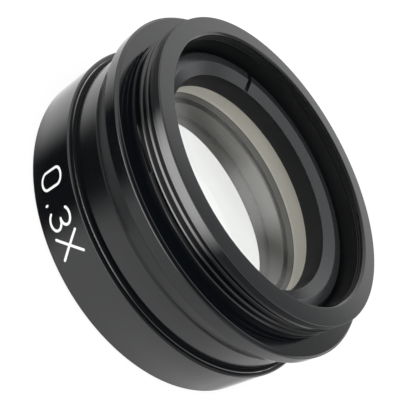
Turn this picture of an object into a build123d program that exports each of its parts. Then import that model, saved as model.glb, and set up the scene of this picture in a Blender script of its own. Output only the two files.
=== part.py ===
from build123d import *
import os
from math import sqrt

# Microscope auxiliary lens: a threaded barrel, a front cell, a slotted ring and a cemented doublet.
# All sizes are in millimetres. Z is the optical axis, the front rim lies at z = 0 and the
# mount thread points up. Turned pieces are drawn as (radius, height) outlines.

# Mount thread, M48 x 1, drawn as its major cylinder; every other radius steps in or out from it
thread_radius = 24.0
thread_length = 4.5
thread_chamfer = 0.3
thread_wall = 2.95
mouth_chamfer = 0.3

# Shoulder flange behind the thread and the taper below it
shoulder_width = 2.8
flange_length = 2.2
flange_chamfer = 0.35
taper_length = 2.95

# Plain middle of the barrel, and the crowned collar and skirt that sit in the front cell
body_step = 1.2
body_length = 4.22
collar_height = 0.73
collar_crown = 0.12
collar_ledge = 1.75
skirt_chamfer = 0.2

# Front cell, the sleeve that carries the power mark, as wide as the flange
cell_length = 7.9
cell_top_lip = 0.6
cell_top_chamfer = 0.2
cell_front_chamfer = 0.35
counterbore_depth = 0.7
front_bore_length = 4.84
front_bore_chamfer = 0.2
seat_width = 1.25

# Cemented doublet
glass_ledge = 2.45
rear_curve = 64.0
cement_curve = 64.0
crown_centre = 1.3
flint_edge = 2.2
rim_land = 1.25
glass_bevel = 0.15

# Retaining ring, screwed into the bore on top of the glass
ring_height = 4.3
ring_land = 1.4
ring_lead_chamfer = 0.7
ring_foot_chamfer = 0.3
ring_flat_width = 1.4
dish_depth = 1.1
slot_width = 0.8
slot_depth = 1.0
slot_angle = 159.5

# Clearances
thread_clearance = 0.05
collar_clearance = 0.05
glass_clearance = 0.05
bond_gap = 0.03
skirt_end_gap = 0.25
ring_step_drop = 0.2


def sagitta(curve, radius):
    """Depth of a spherical surface at a given distance from the axis."""
    return curve - sqrt(curve**2 - radius**2)


# Radii outside, stepped from the mount thread
outer_radius = thread_radius + shoulder_width
body_radius = outer_radius - body_step
counterbore_radius = outer_radius - cell_top_lip
collar_radius = counterbore_radius - collar_clearance
skirt_radius = collar_radius - collar_ledge
cell_bore_radius = skirt_radius + thread_clearance

# Radii inside, stepped from the mount thread
bore_radius = thread_radius - thread_wall
chamber_radius = bore_radius - glass_ledge
glass_radius = chamber_radius - glass_clearance
clear_radius = glass_radius - rim_land
front_bore_radius = glass_radius - seat_width
ring_radius = bore_radius - thread_clearance
ring_edge_radius = ring_radius - ring_lead_chamfer
ring_flat_radius = ring_edge_radius - ring_flat_width
ring_bore_radius = glass_radius - ring_land

# Heights, built up from the front rim through the seat and the glass
seat_z = front_bore_length
flint_rim_z = seat_z + flint_edge
flint_vertex_z = flint_rim_z + sagitta(cement_curve, glass_radius)
crown_front_vertex_z = flint_vertex_z + bond_gap
crown_front_rim_z = flint_rim_z + bond_gap
crown_rear_vertex_z = crown_front_vertex_z + crown_centre
crown_rim_z = crown_rear_vertex_z + sagitta(rear_curve, clear_radius)
ring_top_z = crown_rim_z + ring_height
ring_step_z = crown_rim_z - ring_step_drop

# Heights of the barrel, built up from where its collar rests in the cell
skirt_end_z = seat_z + skirt_end_gap
collar_seat_z = cell_length - counterbore_depth
collar_top_z = collar_seat_z + collar_height
body_top_z = collar_top_z + body_length
taper_top_z = body_top_z + taper_length
shoulder_z = taper_top_z + flange_length
mount_end_z = shoulder_z + thread_length


def turned(*edges):
    """Solid of revolution about Z from the edges of one closed half section."""
    return revolve(Plane.XZ * make_face(edges), Axis.Z)


def make_mount_barrel():
    """One turned piece: thread, shoulder, taper, body, collar, skirt, and the stepped bore."""
    crown_mid = ((body_radius + collar_radius) / 2, collar_top_z + collar_crown)
    outside = Polyline(
        (bore_radius + mouth_chamfer, mount_end_z),
        (thread_radius - thread_chamfer, mount_end_z),
        (thread_radius, mount_end_z - thread_chamfer),
        (thread_radius, shoulder_z),
        (outer_radius - flange_chamfer, shoulder_z),
        (outer_radius, shoulder_z - flange_chamfer),
        (outer_radius, taper_top_z),
        (body_radius, body_top_z),
        (body_radius, collar_top_z),
    )
    collar = ThreePointArc((body_radius, collar_top_z), crown_mid, (collar_radius, collar_top_z))
    inside = Polyline(
        (collar_radius, collar_top_z),
        (collar_radius, collar_seat_z),
        (skirt_radius, collar_seat_z),
        (skirt_radius, skirt_end_z + skirt_chamfer),
        (skirt_radius - skirt_chamfer, skirt_end_z),
        (chamber_radius, skirt_end_z),
        (chamber_radius, ring_step_z),
        (bore_radius, ring_step_z),
        (bore_radius, mount_end_z - mouth_chamfer),
        (bore_radius + mouth_chamfer, mount_end_z),
    )
    return turned(outside, collar, inside)


def make_front_cell():
    """One turned sleeve with a counterbore for the collar, a bore for the skirt and the lens seat."""
    outline = Polyline(
        (front_bore_radius + front_bore_chamfer, 0),
        (outer_radius - cell_front_chamfer, 0),
        (outer_radius, cell_front_chamfer),
        (outer_radius, cell_length - cell_top_chamfer),
        (outer_radius - cell_top_chamfer, cell_length),
        (counterbore_radius, cell_length),
        (counterbore_radius, collar_seat_z),
        (cell_bore_radius, collar_seat_z),
        (cell_bore_radius, seat_z),
        (front_bore_radius, seat_z),
        (front_bore_radius, front_bore_chamfer),
        close=True,
    )
    return turned(outline)


def make_retaining_ring():
    """Threaded ring with a dished rear face and a spanner slot on each side."""
    outline = Polyline(
        (ring_bore_radius, crown_rim_z),
        (ring_radius - ring_foot_chamfer, crown_rim_z),
        (ring_radius, crown_rim_z + ring_foot_chamfer),
        (ring_radius, ring_top_z - ring_lead_chamfer),
        (ring_edge_radius, ring_top_z),
        (ring_flat_radius, ring_top_z),
        (ring_bore_radius, ring_top_z - dish_depth),
        close=True,
    )
    slots = Box(2 * ring_radius + slot_width, slot_width, 2 * slot_depth)
    return turned(outline) - Pos(0, 0, ring_top_z) * Rot(0, 0, slot_angle) * slots


def polishing_ball(curve, centre_z):
    """The ball whose surface a lens face follows. Its poles lie sideways, clear of the glass."""
    return Pos(0, 0, centre_z) * Sphere(curve, rotation=(0, 90, 0))


def make_crown_lens():
    """Rear element, hollow on both sides, with a flat ground rim under the ring."""
    blank = turned(Polyline(
        (0, seat_z),
        (glass_radius, seat_z),
        (glass_radius, crown_rim_z - glass_bevel),
        (glass_radius - glass_bevel, crown_rim_z),
        (0, crown_rim_z),
        close=True,
    ))
    rear = polishing_ball(rear_curve, crown_rear_vertex_z + rear_curve)
    front = polishing_ball(cement_curve, crown_front_vertex_z - cement_curve)
    return blank - front - rear


def make_flint_lens():
    """Front element, domed towards the crown and flat on its seat."""
    blank = turned(Polyline(
        (0, seat_z),
        (glass_radius - glass_bevel, seat_z),
        (glass_radius, seat_z + glass_bevel),
        (glass_radius, flint_vertex_z),
        (0, flint_vertex_z),
        close=True,
    ))
    return blank & polishing_ball(cement_curve, flint_vertex_z - cement_curve)


pieces = {
    "mount_barrel": make_mount_barrel(),
    "front_cell": make_front_cell(),
    "retaining_ring": make_retaining_ring(),
    "crown_lens": make_crown_lens(),
    "flint_lens": make_flint_lens(),
}

os.makedirs("parts", exist_ok=True)
for name, piece in pieces.items():
    export_step(piece, f"parts/{name}.step")
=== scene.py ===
import bpy
import bmesh
import math
from mathutils import Matrix, Vector


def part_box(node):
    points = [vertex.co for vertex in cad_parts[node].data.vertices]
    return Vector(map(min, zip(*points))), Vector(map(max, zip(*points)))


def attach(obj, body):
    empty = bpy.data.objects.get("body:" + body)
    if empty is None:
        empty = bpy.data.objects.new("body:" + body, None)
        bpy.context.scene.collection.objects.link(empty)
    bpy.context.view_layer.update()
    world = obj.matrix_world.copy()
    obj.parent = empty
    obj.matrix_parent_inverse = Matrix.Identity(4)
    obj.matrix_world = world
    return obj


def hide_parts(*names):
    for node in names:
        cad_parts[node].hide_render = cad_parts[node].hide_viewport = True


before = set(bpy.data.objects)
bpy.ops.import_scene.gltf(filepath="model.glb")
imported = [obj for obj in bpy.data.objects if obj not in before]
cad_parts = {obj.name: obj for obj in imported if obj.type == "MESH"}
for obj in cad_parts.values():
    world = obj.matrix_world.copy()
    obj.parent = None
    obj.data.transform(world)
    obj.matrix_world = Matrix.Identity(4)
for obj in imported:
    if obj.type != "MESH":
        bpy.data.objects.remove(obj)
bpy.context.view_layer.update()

# Millimetres are used for all sizes below, and become metres when a mesh is made
MM = 0.001
SEGMENTS = 360

# The photograph's camera: where it stands, and how it is pitched down, turned aside and rolled
CAMERA_AZIMUTH = math.radians(-68.5)
CAMERA_RADIUS = 87.96
CAMERA_HEIGHT_OVER_MOUNT = 43.67
CAMERA_PITCH = math.radians(33.76)
CAMERA_TURN = math.radians(0.69)
CAMERA_ROLL = math.radians(60.83)
SENSOR = 36.0
FOCAL_SHARE = 685 / 400


def heights(node):
    """Lowest and highest point of a node, in millimetres."""
    low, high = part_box(node)
    return low.z / MM, high.z / MM


def reach(node):
    """Outer radius of a node, in millimetres."""
    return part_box(node)[1].x / MM


# Sizes taken from the frame
MOUNT_END_Z = heights("mount_barrel")[1]
SKIRT_END_Z = heights("mount_barrel")[0]
OUTER_R = reach("mount_barrel")
CELL_TOP_Z = heights("front_cell")[1]
GLASS_R = reach("crown_lens")
SEAT_Z = heights("flint_lens")[0]
FLINT_TOP_Z = heights("flint_lens")[1]
CROWN_LOW_Z, CROWN_RIM_Z = heights("crown_lens")
RING_R = reach("retaining_ring")
RING_TOP_Z = heights("retaining_ring")[1]

# Sizes repeated from the barrel, the cell, the ring and the glass
THREAD_R = 24.0
SHOULDER_Z = MOUNT_END_Z - 4.5
BORE_R = 21.05
BODY_R = 25.6
FLANGE_LOW_Z = SHOULDER_Z - 2.2
BODY_TOP_Z = FLANGE_LOW_Z - 2.95
COLLAR_R = 26.15
COLLAR_SEAT_Z = CELL_TOP_Z - 0.7
COLLAR_TOP_Z = COLLAR_SEAT_Z + 0.73
COLLAR_CROWN = 0.12
SKIRT_R = 24.4
CHAMBER_R = GLASS_R + 0.05
RING_STEP_Z = CROWN_RIM_Z - 0.2
FRONT_BORE_R = GLASS_R - 1.25
CLEAR_R = GLASS_R - 1.25
RING_BORE_R = GLASS_R - 1.4
REAR_CURVE = 64.0
CEMENT_CURVE = 64.0
SLOT_ANGLE = math.radians(159.5)
SLOT_WIDTH = 0.8
SLOT_DEPTH = 1.0
CLEARANCE = 0.05
FLANGE_CHAMFER = 0.35
MOUTH_CHAMFER = 0.3
CELL_FRONT_CHAMFER = 0.35
CELL_TOP_CHAMFER = 0.2
FRONT_BORE_CHAMFER = 0.2
RING_LEAD_CHAMFER = 0.7
RING_FOOT_CHAMFER = 0.3
RING_FLAT_WIDTH = 1.4
DISH_DEPTH = 1.1
GLASS_BEVEL = 0.15

# How far the line of cement shows on the edge of the glass, above and below the joint
CEMENT_ABOVE = 0.18
CEMENT_BELOW = 0.12

# Refractive indices, and how much denser than the crown the flint is to light that crosses the cement
CROWN_INDEX = 1.517
FLINT_INDEX = 1.62
BOND_INDEX = 1.062

# Mount thread: a right-hand helix. Its groove runs in from the surface under a plain lead band
PITCH = 1.0
THREAD_DEPTH = 0.6
THREAD_ROOT = 0.12
FLANK_SLOPE = math.tan(math.radians(30))
THREAD_LAND = 0.28
LEAD_BAND = 1.3
LEAD_OVERLAP = 0.3
LEAD_CHAMFER = 0.18
LEAD_DRAFT = 0.09
GROOVE_END_AZIMUTH = 82
RUN_IN_TURNS = 0.514
RUN_IN_CLEAR_TURNS = 0.086
GROOVE_TURNS = 4 - RUN_IN_CLEAR_TURNS
THREAD_TURNS = 6
EDGE_DROP = 0.025

# The few fine lines of the bore's own thread that show inside the mouth
BORE_LINE_LOW_Z = MOUNT_END_Z - 1.6
BORE_LINE_HIGH_Z = MOUNT_END_Z - 0.45
BORE_LINE_PITCH = 0.4
BORE_LINE_DEPTH = 0.08
BORE_LINE_ROOT = 0.05
BORE_LINE_SLOPE = 1.6
BORE_LINE_TURNS = 7

# Steps in the collar's crown and from the axis to the edge of a lens
CROWN_STEPS = 8
LENS_STEPS = 40


def hex_linear(code):
    """Linear RGBA from an sRGB hex code."""
    parts = [int(code[i:i + 2], 16) / 255 for i in (1, 3, 5)]
    return [p / 12.92 if p <= 0.04045 else ((p + 0.055) / 1.055) ** 2.4 for p in parts] + [1.0]


def add_node(tree, kind, links=(), **settings):
    """Adds a node. A setting goes to the attribute of that name, or to the input with that name or number.
    Each link is (input, other node, other node's output)."""
    node = tree.nodes.new(kind)
    for key, value in settings.items():
        if hasattr(node, key):
            setattr(node, key, value)
    for key, value in settings.items():
        if not hasattr(node, key):
            socket = node.inputs[int(key[1:])] if key[0] == "_" else node.inputs[key.replace("_", " ")]
            socket.default_value = value
    for name, other, output in links:
        tree.links.new(other.outputs[output], node.inputs[name])
    return node


def new_material(name):
    """An empty node material with its output."""
    material = bpy.data.materials.new(name)
    material.use_nodes = True
    material.node_tree.nodes.clear()
    return material, material.node_tree


def black_anodised(name, roughness=0.1, spread=0.0, code="#07090c"):
    """Black anodised aluminium, turned: a hard, glossy, nearly black oxide over fine tool lines.
    The lines lie round the axis, on faces and cylinders alike. Real ones are about 0.05 mm apart, and are
    drawn coarser so that they show. With a spread, they draw each reflection out across themselves."""
    line_spacing = 0.22
    line_height = 0.006
    grain_size = 0.35
    material, tree = new_material(name)
    place = add_node(tree, "ShaderNodeTexCoord")
    axes = add_node(tree, "ShaderNodeSeparateXYZ", [("Vector", place, "Object")])
    flat = add_node(tree, "ShaderNodeCombineXYZ", [("X", axes, "X"), ("Y", axes, "Y")])
    radius = add_node(tree, "ShaderNodeVectorMath", [(0, flat, 0)], operation="LENGTH")
    along = add_node(tree, "ShaderNodeMath", [(0, radius, "Value"), (1, axes, "Z")], operation="ADD")
    lines = add_node(tree, "ShaderNodeTexNoise", [("W", along, 0)], noise_dimensions="1D",
                     Scale=1 / (line_spacing * MM), Detail=2.0)
    grain = add_node(tree, "ShaderNodeTexNoise", [("Vector", place, "Object")],
                     Scale=1 / (grain_size * MM), Detail=3.0)
    satin = add_node(tree, "ShaderNodeMapRange", [("Value", grain, "Fac")],
                     _3=roughness - 0.03, _4=roughness + 0.04)
    bump = add_node(tree, "ShaderNodeBump", [("Height", lines, "Fac")], Strength=0.35,
                    Distance=line_height * MM)
    across = add_node(tree, "ShaderNodeTangent", direction_type="RADIAL", axis="Z")
    shader = add_node(tree, "ShaderNodeBsdfPrincipled",
                      [("Roughness", satin, 0), ("Normal", bump, 0), ("Tangent", across, 0)],
                      Base_Color=hex_linear(code), IOR=1.65, Metallic=0.0, Anisotropic=spread)
    add_node(tree, "ShaderNodeOutputMaterial", [("Surface", shader, 0)])
    return material


def matt_black(name):
    """Blackened bore: the same oxide over fine cut lines, which scatter any clear reflection."""
    line_spacing = 0.25
    line_height = 0.03
    material, tree = new_material(name)
    place = add_node(tree, "ShaderNodeTexCoord")
    axes = add_node(tree, "ShaderNodeSeparateXYZ", [("Vector", place, "Object")])
    lines = add_node(tree, "ShaderNodeTexNoise", [("W", axes, "Z")], noise_dimensions="1D",
                     Scale=1 / (line_spacing * MM), Detail=2.0)
    satin = add_node(tree, "ShaderNodeMapRange", [("Value", lines, "Fac")], _3=0.38, _4=0.55)
    bump = add_node(tree, "ShaderNodeBump", [("Height", lines, "Fac")], Strength=0.6,
                    Distance=line_height * MM)
    shader = add_node(tree, "ShaderNodeBsdfPrincipled", [("Roughness", satin, 0), ("Normal", bump, 0)],
                      Base_Color=hex_linear("#07080a"), IOR=1.4, Metallic=0.0)
    add_node(tree, "ShaderNodeOutputMaterial", [("Surface", shader, 0)])
    return material


def polished_glass(name, ior):
    """Polished optical glass, seen from outside with the given index."""
    material, tree = new_material(name)
    shader = add_node(tree, "ShaderNodeBsdfPrincipled", Base_Color=hex_linear("#fdfefd"), Roughness=0.0,
                      IOR=ior, Transmission_Weight=1.0)
    add_node(tree, "ShaderNodeOutputMaterial", [("Surface", shader, 0)])
    return material


def cemented_face():
    """The crown's cemented face: the cement matches the glass, so nothing shows there."""
    material, tree = new_material("cemented_face")
    shader = add_node(tree, "ShaderNodeBsdfTransparent")
    add_node(tree, "ShaderNodeOutputMaterial", [("Surface", shader, 0)])
    return material


def ground_glass(name, code):
    """Fine ground glass edge: a pale, dull, slightly mottled surface."""
    mottle_size = 0.5
    darker = 0.92
    material, tree = new_material(name)
    place = add_node(tree, "ShaderNodeTexCoord")
    grit = add_node(tree, "ShaderNodeTexNoise", [("Vector", place, "Object")],
                    Scale=1 / (mottle_size * MM), Detail=4.0)
    tone = add_node(tree, "ShaderNodeMixRGB", [("Fac", grit, "Fac")], Color1=hex_linear(code),
                    Color2=[c * darker for c in hex_linear(code)[:3]] + [1.0])
    shader = add_node(tree, "ShaderNodeBsdfPrincipled", [("Base Color", tone, 0)], Roughness=0.7, IOR=1.5)
    add_node(tree, "ShaderNodeOutputMaterial", [("Surface", shader, 0)])
    return material


def filled_paint():
    """White engraver's enamel in the cut strokes: bright, even and slightly glossy."""
    mottle_size = 0.3
    material, tree = new_material("engraver_enamel_white")
    place = add_node(tree, "ShaderNodeTexCoord")
    fill = add_node(tree, "ShaderNodeTexNoise", [("Vector", place, "Object")],
                    Scale=1 / (mottle_size * MM), Detail=2.0)
    tone = add_node(tree, "ShaderNodeMixRGB", [("Fac", fill, "Fac")], Color1=hex_linear("#f4f5f2"),
                    Color2=hex_linear("#d9dbd8"))
    shader = add_node(tree, "ShaderNodeBsdfPrincipled", [("Base Color", tone, 0)], Roughness=0.35, IOR=1.5)
    add_node(tree, "ShaderNodeOutputMaterial", [("Surface", shader, 0)])
    return material


def rounded(outline, radius, closed=True):
    """The outline with each corner turned into a small arc. A corner can carry its own radius as a third
    value, and a fourth value is passed on as the material of the arc and the stretch that follows."""
    count = len(outline)
    arc_steps = 3
    made = []
    for i, corner in enumerate(outline):
        here = Vector(corner[:2])
        own = corner[2] if len(corner) > 2 else radius
        tag = corner[3] if len(corner) > 3 else 0
        if (not closed and i in (0, count - 1)) or own == 0:
            made.append((here.x, here.y, tag))
            continue
        before = Vector(outline[i - 1][:2]) - here
        after = Vector(outline[(i + 1) % count][:2]) - here
        cut = min(own, 0.4 * before.length, 0.4 * after.length)
        start = here + before.normalized() * cut
        end = here + after.normalized() * cut
        for step in range(arc_steps + 1):
            t = step / arc_steps
            point = start * (1 - t) ** 2 + here * 2 * t * (1 - t) + end * t ** 2
            made.append((point.x, point.y, tag))
    return made


def turned_mesh(bm, outline, closed=True):
    """Adds the solid of revolution of (radius, height, material) points to a bmesh."""
    columns = []
    for i in range(SEGMENTS):
        a = 2 * math.pi * i / SEGMENTS
        c, s = math.cos(a) * MM, math.sin(a) * MM
        columns.append([bm.verts.new((r * c, r * s, z * MM)) for r, z, _ in outline])
    last = len(outline) if closed else len(outline) - 1
    for i in range(SEGMENTS):
        one, two = columns[i], columns[(i + 1) % SEGMENTS]
        for j in range(last):
            k = (j + 1) % len(outline)
            face = bm.faces.new((one[j], two[j], two[k], one[k]))
            face.material_index = outline[j][2]


def finish_mesh(name, bm, materials, sharp=32.0):
    """Closes, orients and shades a bmesh, and returns it as an object at the origin."""
    bmesh.ops.remove_doubles(bm, verts=bm.verts, dist=1e-7)
    bmesh.ops.dissolve_degenerate(bm, edges=bm.edges, dist=1e-7)
    bmesh.ops.recalc_face_normals(bm, faces=bm.faces)
    mesh = bpy.data.meshes.new(name)
    bm.to_mesh(mesh)
    bm.free()
    for material in materials:
        mesh.materials.append(material)
    mesh.shade_smooth()
    mesh.set_sharp_from_angle(angle=math.radians(sharp))
    piece = bpy.data.objects.new(name, mesh)
    bpy.context.scene.collection.objects.link(piece)
    shading = piece.modifiers.new("face_weights", "WEIGHTED_NORMAL")
    shading.keep_sharp = True
    return baked(piece)


def baked(piece):
    """Replaces an object's mesh by its evaluated mesh, and removes the modifiers."""
    graph = bpy.context.evaluated_depsgraph_get()
    mesh = bpy.data.meshes.new_from_object(piece.evaluated_get(graph), depsgraph=graph)
    piece.modifiers.clear()
    piece.data = mesh
    mesh.name = piece.name
    return piece


def helix_tree():
    """Geometry Nodes that lay a V groove along a right-hand helix, between two levels of a cylinder."""
    tree = bpy.data.node_groups.new("helical_thread", "GeometryNodeTree")
    for name in ("Radius", "Pitch", "Depth", "Root Width", "Flank Slope", "Low", "High", "Start Height",
                 "Start Angle", "Groove Turns", "Run In Turns", "Edge Drop"):
        tree.interface.new_socket(name, in_out="INPUT", socket_type="NodeSocketFloat")
    tree.interface.new_socket("Turns", in_out="INPUT", socket_type="NodeSocketInt")
    tree.interface.new_socket("Material", in_out="INPUT", socket_type="NodeSocketMaterial")
    tree.interface.new_socket("Mesh", in_out="OUTPUT", socket_type="NodeSocketGeometry")
    given = add_node(tree, "NodeGroupInput")

    def calc(operation, *inputs):
        """A math node. An input is a number, the name of a tree input, or another math node."""
        node = add_node(tree, "ShaderNodeMath", operation=operation)
        for socket, value in zip(node.inputs, inputs):
            if isinstance(value, str):
                tree.links.new(given.outputs[value], socket)
            elif isinstance(value, bpy.types.Node):
                tree.links.new(value.outputs[0], socket)
            else:
                socket.default_value = value
        return node

    def clamped(value):
        return calc("MINIMUM", calc("MAXIMUM", value, 0.0), 1.0)

    def groove_at(position):
        """Depth and half width of the groove, which runs in from the surface at its upper end."""
        share = clamped(calc("DIVIDE", calc("SUBTRACT", "Groove Turns", position), "Run In Turns"))
        depth = calc("MULTIPLY", "Depth", share)
        half = calc("ADD", half_root, calc("MULTIPLY", depth, "Flank Slope"))
        return depth, half

    # One row of vertices for each degree, and five across: edge, root, root, edge, and the next edge
    grid = add_node(tree, "GeometryNodeMeshGrid", _1=1.0, _3=5)
    rows = calc("ADD", calc("MULTIPLY", "Turns", SEGMENTS), 1.0)
    tree.links.new(rows.outputs[0], grid.inputs["Vertices X"])
    index = add_node(tree, "GeometryNodeInputIndex")
    row = calc("FLOOR", calc("DIVIDE", index, 5.0))
    across = calc("MODULO", index, 5.0)
    turn = calc("DIVIDE", row, float(SEGMENTS))
    angle = calc("ADD", calc("MULTIPLY", turn, 2 * math.pi), "Start Angle")
    half_root = calc("MULTIPLY", "Root Width", 0.5)
    depth, half = groove_at(turn)
    next_half = groove_at(calc("ADD", turn, 1.0))[1]
    centre = calc("ADD", "Start Height", calc("MULTIPLY", turn, "Pitch"))
    low_edge = calc("SUBTRACT", centre, half)
    high_edge = calc("ADD", centre, half)
    next_edge = calc("SUBTRACT", calc("ADD", centre, "Pitch"), next_half)
    # Where a level cuts through a flank, the root rises to meet it, and the groove ends in a flat wall
    flank = calc("MAXIMUM", calc("SUBTRACT", half, half_root), 1e-6)
    cut_low = clamped(calc("DIVIDE", calc("SUBTRACT", high_edge, "Low"), flank))
    cut_high = clamped(calc("DIVIDE", calc("SUBTRACT", "High", low_edge), flank))
    left = calc("MULTIPLY", depth, calc("MULTIPLY", cut_low, cut_high))
    is_root = calc("MULTIPLY", calc("GREATER_THAN", across, 0.5), calc("LESS_THAN", across, 2.5))
    # The crests fall a little towards each groove, more the deeper it is
    is_inner = calc("MULTIPLY", calc("GREATER_THAN", across, 0.5), calc("LESS_THAN", across, 3.5))
    is_edge = calc("SUBTRACT", 1.0, is_inner)
    drop = calc("MULTIPLY", calc("MULTIPLY", "Edge Drop", is_edge), calc("DIVIDE", depth, "Depth"))
    radius = calc("SUBTRACT", calc("SUBTRACT", "Radius", calc("MULTIPLY", left, is_root)), drop)
    height = low_edge
    for number, level in enumerate((calc("SUBTRACT", centre, half_root), calc("ADD", centre, half_root),
                                    high_edge, next_edge)):
        passed = calc("GREATER_THAN", across, number + 0.5)
        height = calc("ADD", height, calc("MULTIPLY", passed, calc("SUBTRACT", level, height)))
    height = calc("MINIMUM", calc("MAXIMUM", height, "Low"), "High")
    place = add_node(tree, "ShaderNodeCombineXYZ", [
        ("X", calc("MULTIPLY", radius, calc("COSINE", angle)), 0),
        ("Y", calc("MULTIPLY", radius, calc("SINE", angle)), 0),
        ("Z", height, 0),
    ])
    moved = add_node(tree, "GeometryNodeSetPosition", [("Geometry", grid, "Mesh"), ("Position", place, 0)])
    merged = add_node(tree, "GeometryNodeMergeByDistance", [("Geometry", moved, 0)], Distance=2e-7)
    solid = add_node(tree, "GeometryNodeRealizeInstances", [("Geometry", merged, 0)])
    dressed = add_node(tree, "GeometryNodeSetMaterial",
                       [("Geometry", solid, 0), ("Material", given, "Material")])
    add_node(tree, "NodeGroupOutput", [("Mesh", dressed, 0)])
    return tree


def add_helix(bm, tree, material_index, values):
    """Runs the thread nodes with the given inputs and adds the result to a bmesh."""
    holder = bpy.data.objects.new("helix", bpy.data.meshes.new("helix"))
    bpy.context.scene.collection.objects.link(holder)
    modifier = holder.modifiers.new("helix", "NODES")
    modifier.node_group = tree
    for item in tree.interface.items_tree:
        if item.in_out == "INPUT" and item.name in values:
            modifier[item.identifier] = values[item.name]
    baked(holder)
    before = len(bm.faces)
    bm.from_mesh(holder.data)
    bm.faces.ensure_lookup_table()
    for face in bm.faces[before:]:
        face.material_index = material_index
    bpy.data.objects.remove(holder)


def collar_crown():
    """Points of the collar's crowned face, which rises from the body to the collar's edge."""
    points = []
    for i in range(1, CROWN_STEPS):
        t = i / CROWN_STEPS
        rise = COLLAR_CROWN * math.sin(math.pi * t / 2)
        points.append((BODY_R + (COLLAR_R - BODY_R) * t, COLLAR_TOP_Z + rise, 0))
    return points


def mount_barrel(tree, finish, bore_finish, body_finish):
    """The barrel: turned outside and bore, with the mount thread and a few fine lines inside the mouth."""
    bm = bmesh.new()
    thread_low = SHOULDER_Z + THREAD_LAND
    thread_high = MOUNT_END_Z - LEAD_BAND + LEAD_OVERLAP
    groove_end_z = MOUNT_END_Z - LEAD_BAND - RUN_IN_CLEAR_TURNS * PITCH
    # A fourth value of 1 is the blackened bore, and of 2 the finish of taper and body
    outside = [
        (THREAD_R, thread_low, 0), (THREAD_R, SHOULDER_Z, 0.02), (OUTER_R - FLANGE_CHAMFER, SHOULDER_Z, 0.1),
        (OUTER_R, SHOULDER_Z - FLANGE_CHAMFER, 0.1), (OUTER_R, FLANGE_LOW_Z, 0.15, 2),
        (BODY_R, BODY_TOP_Z, 0.3, 2), (BODY_R, COLLAR_TOP_Z, 0.03), *collar_crown(),
        (COLLAR_R, COLLAR_TOP_Z + COLLAR_CROWN, 0.1), (COLLAR_R, COLLAR_SEAT_Z, 0),
        (SKIRT_R, COLLAR_SEAT_Z, 0), (SKIRT_R, SKIRT_END_Z, 0.1), (CHAMBER_R, SKIRT_END_Z, 0.05, 1),
        (CHAMBER_R, RING_STEP_Z, 0, 1), (BORE_R, RING_STEP_Z, 0, 1), (BORE_R, BORE_LINE_LOW_Z, 0, 1),
    ]
    inside = [
        (BORE_R, BORE_LINE_HIGH_Z, 0, 1), (BORE_R, MOUNT_END_Z - MOUTH_CHAMFER, 0.05, 0),
        (BORE_R + MOUTH_CHAMFER, MOUNT_END_Z, 0.06), (THREAD_R - LEAD_CHAMFER, MOUNT_END_Z, 0.06),
        (THREAD_R - LEAD_DRAFT, MOUNT_END_Z - LEAD_CHAMFER, 0.06), (THREAD_R, thread_high, 0),
    ]
    turned_mesh(bm, rounded(outside, 0.05, closed=False), closed=False)
    turned_mesh(bm, rounded(inside, 0.05, closed=False), closed=False)
    add_helix(bm, tree, 0, {
        "Radius": THREAD_R * MM, "Pitch": PITCH * MM, "Depth": THREAD_DEPTH * MM,
        "Root Width": THREAD_ROOT * MM, "Flank Slope": FLANK_SLOPE, "Low": thread_low * MM, "High": thread_high * MM,
        "Start Height": (groove_end_z - GROOVE_TURNS * PITCH) * MM,
        "Start Angle": math.radians(GROOVE_END_AZIMUTH), "Groove Turns": GROOVE_TURNS,
        "Run In Turns": RUN_IN_TURNS, "Edge Drop": EDGE_DROP * MM, "Turns": THREAD_TURNS, "Material": finish,
    })
    # A negative depth cuts outwards. More groove turns than turns leave no run-in on the bore's lines
    add_helix(bm, tree, 1, {
        "Radius": BORE_R * MM, "Pitch": BORE_LINE_PITCH * MM, "Depth": -BORE_LINE_DEPTH * MM,
        "Root Width": BORE_LINE_ROOT * MM, "Flank Slope": -BORE_LINE_SLOPE, "Low": BORE_LINE_LOW_Z * MM,
        "High": BORE_LINE_HIGH_Z * MM, "Start Height": (BORE_LINE_LOW_Z - 2 * BORE_LINE_PITCH) * MM,
        "Start Angle": 0.0, "Groove Turns": 20.0, "Run In Turns": 1.0, "Edge Drop": 0.0,
        "Turns": BORE_LINE_TURNS, "Material": bore_finish,
    })
    return finish_mesh("barrel", bm, [finish, bore_finish, body_finish])


def front_cell(finish, bore_finish):
    """The marked sleeve, with its counterbore, the lens seat and the open front bore."""
    bm = bmesh.new()
    counterbore_r = COLLAR_R + CLEARANCE
    thread_r = SKIRT_R + CLEARANCE
    # A fourth value of 1 gives the front bore wall and its chamfer the second material, whose lifted black is
    # painted light.
    outline = [
        (FRONT_BORE_R + FRONT_BORE_CHAMFER, 0, 0.05), (OUTER_R - CELL_FRONT_CHAMFER, 0, 0.1),
        (OUTER_R, CELL_FRONT_CHAMFER, 0.1), (OUTER_R, CELL_TOP_Z - CELL_TOP_CHAMFER, 0.04),
        (OUTER_R - CELL_TOP_CHAMFER, CELL_TOP_Z, 0.03), (counterbore_r, CELL_TOP_Z, 0.04),
        (counterbore_r, COLLAR_SEAT_Z, 0), (thread_r, COLLAR_SEAT_Z, 0), (thread_r, SEAT_Z, 0),
        (FRONT_BORE_R, SEAT_Z, 0.03, 1), (FRONT_BORE_R, FRONT_BORE_CHAMFER, 0.05, 1),
    ]
    turned_mesh(bm, rounded(outline, 0.05))
    cell = finish_mesh("cell", bm, [finish, bore_finish])
    # Nothing mirrors the cell: in the photograph the foot of the body stays bright down to the joint
    cell.visible_glossy = False
    return cell


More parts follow.
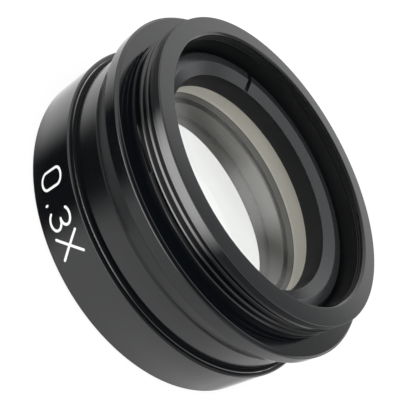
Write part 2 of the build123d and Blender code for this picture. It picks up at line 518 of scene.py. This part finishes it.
def retaining_ring(finish, bore_finish):
    """The dished ring with its blackened bore, cut through by the two spanner slots."""
    bm = bmesh.new()
    edge_r = RING_R - RING_LEAD_CHAMFER
    # The flat and the dish take the first material, whose lifted black is painted sheen.
    outline = [
        (RING_BORE_R, CROWN_RIM_Z, 0.05), (RING_R - RING_FOOT_CHAMFER, CROWN_RIM_Z, 0),
        (RING_R, CROWN_RIM_Z + RING_FOOT_CHAMFER, 0), (RING_R, RING_TOP_Z - RING_LEAD_CHAMFER, 0.05),
        (edge_r, RING_TOP_Z, 0.08), (edge_r - RING_FLAT_WIDTH, RING_TOP_Z, 0.1),
        (RING_BORE_R, RING_TOP_Z - DISH_DEPTH, 0.08, 1),
    ]
    turned_mesh(bm, rounded(outline, 0.05))
    ring = finish_mesh("ring", bm, [finish, bore_finish])
    bar = bmesh.new()
    bmesh.ops.create_cube(bar, size=1.0)
    size = Vector((2 * RING_R + 2, SLOT_WIDTH, 2 * SLOT_DEPTH)) * MM
    bmesh.ops.scale(bar, vec=size, verts=bar.verts)
    bmesh.ops.rotate(bar, cent=(0, 0, 0), matrix=Matrix.Rotation(SLOT_ANGLE, 3, "Z"), verts=bar.verts)
    bmesh.ops.translate(bar, vec=(0, 0, RING_TOP_Z * MM), verts=bar.verts)
    mesh = bpy.data.meshes.new("slot_bar")
    bar.to_mesh(mesh)
    bar.free()
    cutter = bpy.data.objects.new("slot_bar", mesh)
    bpy.context.scene.collection.objects.link(cutter)
    cut = ring.modifiers.new("slots", "BOOLEAN")
    cut.object = cutter
    cut.operation = "DIFFERENCE"
    cut.solver = "EXACT"
    baked(ring)
    bpy.data.objects.remove(cutter)
    return ring


def sagitta(curve, radius):
    """Depth of a spherical surface at a given distance from the axis."""
    return curve - math.sqrt(curve ** 2 - radius ** 2)


def dome(curve, axis_z, radius, upward):
    """Points of a spherical surface from the axis, where its height is axis_z, out to a radius."""
    points = []
    for i in range(LENS_STEPS + 1):
        r = radius * i / LENS_STEPS
        sag = sagitta(curve, r)
        points.append((r, axis_z + (sag if upward else -sag)))
    return points


def crown_lens(polished, ground, cement, joint):
    """Rear element: hollow at the back, with a ground rim, and a cemented front face."""
    rear = dome(REAR_CURVE, CROWN_RIM_Z - sagitta(REAR_CURVE, CLEAR_R), CLEAR_R, True)
    front = dome(CEMENT_CURVE, CROWN_LOW_Z + sagitta(CEMENT_CURVE, GLASS_R), GLASS_R, False)
    outline = [(r, z, 0) for r, z in rear[:-1]]
    outline += [(CLEAR_R, CROWN_RIM_Z, 1), (GLASS_R - GLASS_BEVEL, CROWN_RIM_Z, 1),
                (GLASS_R, CROWN_RIM_Z - GLASS_BEVEL, 1), (GLASS_R, CROWN_LOW_Z + CEMENT_ABOVE, 3)]
    outline += [(r, z, 2) for r, z in reversed(front)]
    bm = bmesh.new()
    turned_mesh(bm, outline, closed=False)
    return finish_mesh("crown", bm, [polished, ground, cement, joint], sharp=20.0)


def flint_lens(bonded, ground, polished, joint):
    """Front element: its dome meets the crown, and its flat face lies on the seat."""
    edge_z = FLINT_TOP_Z - sagitta(CEMENT_CURVE, GLASS_R)
    top = dome(CEMENT_CURVE, FLINT_TOP_Z, GLASS_R, False)
    outline = [(r, z, 0) for r, z in top[:-1]]
    outline += [(GLASS_R, edge_z, 3), (GLASS_R, edge_z - CEMENT_BELOW, 1), (GLASS_R, SEAT_Z + GLASS_BEVEL, 1),
                (GLASS_R - GLASS_BEVEL, SEAT_Z, 2), (0, SEAT_Z, 2)]
    bm = bmesh.new()
    turned_mesh(bm, outline, closed=False)
    return finish_mesh("flint", bm, [bonded, ground, polished, joint], sharp=20.0)


# The generic power mark: strokes as lists of points in millimetres, x along the cell and y up
MARK_HEIGHT = 3.75
MARK_LOW_Z = 2.2
MARK_STROKE = 0.36
MARK_START = math.radians(-30.6)
MARK_PROUD = 0.012
MARK_SUNK = 0.05


def arc(cx, cy, rx, ry, start, end, steps=14):
    """Points on part of an ellipse, angles in degrees."""
    points = []
    for i in range(steps + 1):
        a = math.radians(start + (end - start) * i / steps)
        points.append((cx + rx * math.cos(a), cy + ry * math.sin(a)))
    return points


def mark_strokes():
    """The strokes of 0.3X, with narrow upright figures as an engraving pantograph cuts them."""
    h = MARK_HEIGHT
    zero_half = 1.225
    zero_middle = 0.18 + zero_half
    zero_end = 0.95
    top_half = arc(zero_middle, h - zero_end, zero_half, zero_end, 0, 180)
    low_half = arc(zero_middle, zero_end, zero_half, zero_end, 180, 360)
    zero = top_half + low_half
    dot_x = 4.54
    dot = [(dot_x, 0.05), (dot_x, 0.25)]
    three_width = 2.3
    three_middle = 5.93 + three_width * 0.45
    upper = arc(three_middle, h * 0.765, three_width * 0.5, h * 0.235, 150, -90)
    lower = arc(three_middle, h * 0.265, three_width * 0.55, h * 0.265, 90, -150)
    times_left = 9.13
    times_right = times_left + 2.83
    rising = [(times_left, 0), (times_right, h)]
    falling = [(times_left, h), (times_right, 0)]
    return [zero + [zero[0]], dot, upper, lower, rising, falling]


def power_mark(paint):
    """Thin enamel strokes lying in the cell's surface, facing the front."""
    bm = bmesh.new()
    for stroke in mark_strokes():
        add_stroke(bm, stroke)
    return finish_mesh("power_mark", bm, [paint])


def add_stroke(bm, points):
    """One stroke as a flat band with round ends, bent round the cell."""
    spacing = 0.15
    dense = []
    for (x0, y0), (x1, y1) in zip(points, points[1:]):
        parts = max(1, round(math.hypot(x1 - x0, y1 - y0) / spacing))
        dense += [(x0 + (x1 - x0) * i / parts, y0 + (y1 - y0) * i / parts) for i in range(parts)]
    dense.append(points[-1])
    looped = math.hypot(dense[0][0] - dense[-1][0], dense[0][1] - dense[-1][1]) < 1e-6
    half = MARK_STROKE / 2
    rails = []
    for i, (x, y) in enumerate(dense):
        before = dense[i - 1] if i else (dense[-2] if looped else dense[0])
        after = dense[i + 1] if i + 1 < len(dense) else (dense[1] if looped else dense[-1])
        along = Vector((after[0] - before[0], after[1] - before[1])).normalized()
        side = Vector((-along.y, along.x)) * half
        rails.append((Vector((x, y)), side, along))
    rows = [(p, side) for p, side, _ in rails]
    if not looped:
        for end, sign in ((0, -1), (-1, 1)):
            p, side, along = rails[end]
            cap = [(p + along * sign * half * math.sin(t), side * math.cos(t))
                   for t in (math.radians(35), math.radians(65), math.radians(85))]
            rows = list(reversed(cap)) + rows if end == 0 else rows + cap
    top = OUTER_R + MARK_PROUD
    low = OUTER_R - MARK_SUNK
    rings = []
    for p, side in rows:
        ring = []
        for point, radius in ((p + side, top), (p - side, top), (p - side, low), (p + side, low)):
            a = CAMERA_AZIMUTH + MARK_START + point.x / OUTER_R
            ring.append(bm.verts.new((radius * math.cos(a) * MM, radius * math.sin(a) * MM,
                                      (MARK_LOW_Z + point.y) * MM)))
        rings.append(ring)
    for one, two in zip(rings, rings[1:]):
        for k in range(4):
            bm.faces.new((one[k], one[(k + 1) % 4], two[(k + 1) % 4], two[k]))
    if not looped:
        bm.faces.new(rings[0])
        bm.faces.new(rings[-1])


def studio_world():
    """White surroundings. Polished surfaces see a plain studio: pale walls, a dark card and one softbox."""
    world = bpy.data.worlds.new("studio")
    bpy.context.scene.world = world
    world.use_nodes = True
    tree = world.node_tree
    tree.nodes.clear()
    place = add_node(tree, "ShaderNodeTexCoord")
    turned = add_node(tree, "ShaderNodeMapping", [("Vector", place, "Generated")], vector_type="POINT",
                      Rotation=(0, 0, -CAMERA_AZIMUTH))
    flat = add_node(tree, "ShaderNodeVectorMath", [(0, turned, 0)], operation="MULTIPLY", _1=(1, 1, 0))
    bearing = add_node(tree, "ShaderNodeVectorMath", [(0, flat, 0)], operation="NORMALIZE")

    def facing(middle, half, edge):
        """1 within half the panel's width of its middle, falling to 0 over its soft edge, in degrees."""
        middle = math.radians(middle)
        towards = add_node(tree, "ShaderNodeVectorMath", [(0, bearing, 0)], operation="DOT_PRODUCT",
                           _1=(math.cos(middle), math.sin(middle), 0))
        return add_node(tree, "ShaderNodeMapRange", [("Value", towards, "Value")],
                        interpolation_type="SMOOTHSTEP",
                        _1=math.cos(math.radians(half + edge)), _2=math.cos(math.radians(half)))

    def level(x, y, low, high):
        """How far a direction lies above a plane that is tilted by x and y, from 0 at low to 1 at high."""
        height = add_node(tree, "ShaderNodeVectorMath", [(0, turned, 0)],
                          operation="DOT_PRODUCT", _1=(x, y, 1))
        return add_node(tree, "ShaderNodeMapRange", [("Value", height, "Value")],
                        interpolation_type="SMOOTHSTEP", _1=low, _2=high)

    def over(below, above, share_above):
        """Lays one brightness over another. Each may be a plain number."""
        node = add_node(tree, "ShaderNodeMixRGB", [("Fac", share_above, 0)])
        for name, value in (("Color1", below), ("Color2", above)):
            if isinstance(value, float):
                node.inputs[name].default_value = (value, value, value, 1)
            else:
                tree.links.new(value.outputs[0], node.inputs[name])
        return node

    # What the object mirrors, from the table up. Bearings run round the axis, from 0 at the camera
    table = over(0.2, 0.4, facing(45, 65, 45))
    dark_card = 0.02
    front_wall = over(1.0, 0.7, level(0, 0, -0.69, -0.63))
    walls = over(dark_card, front_wall, facing(55, 70, 30))
    walls = over(walls, 1.1, facing(-155, 40, 35))
    softbox = over(0.2, 5.5, facing(-20, 8, 45))
    mirrored = over(table, walls, level(0.084, 0, -0.7, -0.685))
    mirrored = over(mirrored, softbox, level(0.045, 0, -0.51, -0.495))
    mirrored = over(mirrored, 1.0, level(0, 0, -0.2, -0.05))
    mirrored = over(mirrored, 0.33, level(0, 0.33, 0.47, 0.58))
    ceiling = over(0.06, 0.85, level(-0.8, 0, 0.6, 0.95))
    mirrored = over(mirrored, ceiling, level(0, 0, 0.58, 0.7))
    path = add_node(tree, "ShaderNodeLightPath")
    white = add_node(tree, "ShaderNodeBackground", Color=(1, 1, 1, 1), Strength=1.0)
    soft = add_node(tree, "ShaderNodeBackground", Color=(1, 1, 1, 1), Strength=1.0)
    glossy = add_node(tree, "ShaderNodeBackground", [("Color", mirrored, 0)], Strength=1.0)
    seen = add_node(tree, "ShaderNodeMath", [(0, path, "Is Camera Ray"), (1, path, "Is Transmission Ray")],
                    operation="MAXIMUM")
    first = add_node(tree, "ShaderNodeMixShader", [(0, path, "Is Glossy Ray"), (1, soft, 0), (2, glossy, 0)])
    both = add_node(tree, "ShaderNodeMixShader", [(0, seen, 0), (1, first, 0), (2, white, 0)])
    add_node(tree, "ShaderNodeOutputWorld", [("Surface", both, 0)])


def studio_floor():
    """A pale floor that shows white to the camera and keeps a faint shadow."""
    bm = bmesh.new()
    bmesh.ops.create_grid(bm, x_segments=1, y_segments=1, size=1.5)
    mesh = bpy.data.meshes.new("floor")
    bm.to_mesh(mesh)
    bm.free()
    floor = bpy.data.objects.new("floor", mesh)
    bpy.context.scene.collection.objects.link(floor)
    material, tree = new_material("white_paper")
    path = add_node(tree, "ShaderNodeLightPath")
    seen = add_node(tree, "ShaderNodeMath", [(0, path, "Is Camera Ray"), (1, path, "Is Transmission Ray")],
                    operation="MAXIMUM")
    kept = add_node(tree, "ShaderNodeMath", [(0, seen, 0)], operation="MULTIPLY", _1=0.88)
    glow = add_node(tree, "ShaderNodeEmission", Strength=1.0)
    paper = add_node(tree, "ShaderNodeBsdfDiffuse", Color=hex_linear("#f2f2f2"))
    mixed = add_node(tree, "ShaderNodeMixShader", [(0, kept, 0), (1, paper, 0), (2, glow, 0)])
    add_node(tree, "ShaderNodeOutputMaterial", [("Surface", mixed, 0)])
    mesh.materials.append(material)
    floor.visible_glossy = False


def studio_lamp():
    """One wide soft lamp over the object."""
    lamp = bpy.data.lights.new("overhead", "AREA")
    lamp.shape = "DISK"
    lamp.size = 0.6
    lamp.energy = 3.0
    holder = bpy.data.objects.new("overhead", lamp)
    holder.location = (0.1, -0.15, 0.6)
    holder.rotation_euler = Vector(holder.location).to_track_quat("Z", "Y").to_euler()
    holder.visible_glossy = False
    bpy.context.scene.collection.objects.link(holder)


def photo_camera():
    """The photograph's camera: close, looking down into the mount end, and rolled."""
    data = bpy.data.cameras.new("camera")
    data.sensor_width = SENSOR
    data.lens = SENSOR * FOCAL_SHARE
    data.clip_start = 0.001
    camera = bpy.data.objects.new("camera", data)
    bpy.context.scene.collection.objects.link(camera)
    up = Vector((0, 0, 1))
    stand = Vector((math.cos(CAMERA_AZIMUTH), math.sin(CAMERA_AZIMUTH), 0)) * CAMERA_RADIUS
    bearing = CAMERA_AZIMUTH + CAMERA_TURN
    back = Vector((math.cos(bearing), math.sin(bearing), 0))
    level = Vector((-back.y, back.x, 0))
    ahead = -back * math.cos(CAMERA_PITCH) - up * math.sin(CAMERA_PITCH)
    lift = level.cross(ahead)
    right = level * math.cos(CAMERA_ROLL) + lift * math.sin(CAMERA_ROLL)
    top = lift * math.cos(CAMERA_ROLL) - level * math.sin(CAMERA_ROLL)
    camera.rotation_mode = "QUATERNION"
    camera.rotation_quaternion = Matrix((right, top, -ahead)).transposed().to_quaternion()
    camera.location = (stand + up * (MOUNT_END_Z + CAMERA_HEIGHT_OVER_MOUNT)) * MM
    bpy.context.scene.camera = camera


def place_piece(piece, node):
    """Rides the piece on the body, in the place of its node."""
    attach(piece, "root")
    if node:
        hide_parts(node)


barrel_finish = black_anodised("black_anodised_barrel")
body_finish = black_anodised("black_anodised_body", roughness=0.16, spread=0.85)
cell_finish = black_anodised("black_anodised_cell")
# The front bore's black is lifted to a dark grey-brown. This is painted light: it stands for the white light that
# comes in through the open front.
front_bore_painted_light = black_anodised("black_anodised_front_bore_painted_light", roughness=0.35, code="#2a2825")
# The ring's black is lifted above the barrel's. This is painted sheen: it stands for the light that the flat and the
# dish mirror from above.
ring_black_painted_sheen = black_anodised("black_anodised_ring_painted_sheen", roughness=0.26, code="#1d1f21")
cement_tint = ground_glass("cement_line_brown", "#5a4c3a")
crown_polished = polished_glass("crown_glass_polished", CROWN_INDEX)
crown_ground = ground_glass("crown_glass_ground", "#fbf7eb")
flint_bonded = polished_glass("flint_glass_bonded", BOND_INDEX)
flint_ground = ground_glass("flint_glass_ground", "#86847c")
flint_polished = polished_glass("flint_glass_polished", FLINT_INDEX)
bore_finish = matt_black("blackened_bore")
thread_nodes = helix_tree()
place_piece(mount_barrel(thread_nodes, barrel_finish, bore_finish, body_finish), "mount_barrel")
place_piece(front_cell(cell_finish, front_bore_painted_light), "front_cell")
place_piece(retaining_ring(ring_black_painted_sheen, bore_finish), "retaining_ring")
place_piece(crown_lens(crown_polished, crown_ground, cemented_face(), cement_tint), "crown_lens")
place_piece(flint_lens(flint_bonded, flint_ground, flint_polished, cement_tint), "flint_lens")
place_piece(power_mark(filled_paint()), None)

studio_world()
studio_floor()
studio_lamp()
photo_camera()
bpy.context.scene.view_settings.view_transform = "Standard"
